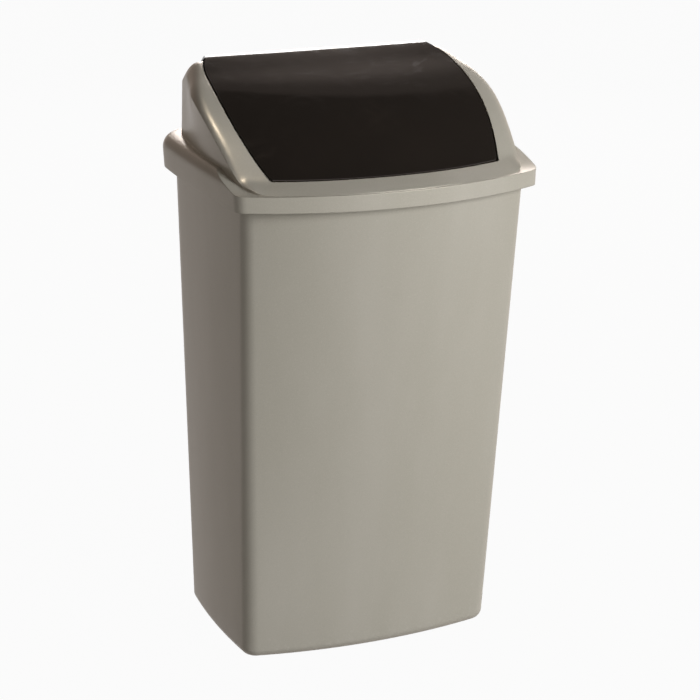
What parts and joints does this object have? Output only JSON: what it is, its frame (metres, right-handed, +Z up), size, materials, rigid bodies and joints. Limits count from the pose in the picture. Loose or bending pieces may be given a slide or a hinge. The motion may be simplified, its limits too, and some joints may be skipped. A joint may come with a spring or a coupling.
{
  "type": "swing-top waste bin",
  "caption": "Household waste bin with a tapered, front-bowed body, a lift-off lid with a sloping hood, and a glossy push-in flap that falls shut",
  "frame": {"origin": "on the floor under the middle of the whole bin", "axes": "+X to the bin's right as its user faces away from it, +Y to its back, +Z up; the low edge of the flap is at -Y"},
  "size_m": [0.3614, 0.3352, 0.6679],
  "materials": {
    "silver_plastic": "injection moulded, champagne silver with a pearl sheen, satin",
    "black_plastic": "injection moulded, polished black-brown"
  },
  "bodies": {
    "bin": {"bin_body": "silver_plastic"},
    "lid": {"lid_hood": "silver_plastic"},
    "flap": {"swing_flap": "black_plastic"}
  },
  "joints": [
    {"name": "lid_lift", "type": "slide", "parent": "bin", "child": "lid", "axis": [0, 0, 1], "range_m": [0, 0.2]},
    {"name": "flap_swing", "type": "hinge", "parent": "lid", "child": "flap", "pos_m": [0, -0.014, 0.6246], "axis": [1, 0, 0], "range_deg": [0, 62]}
  ]
}
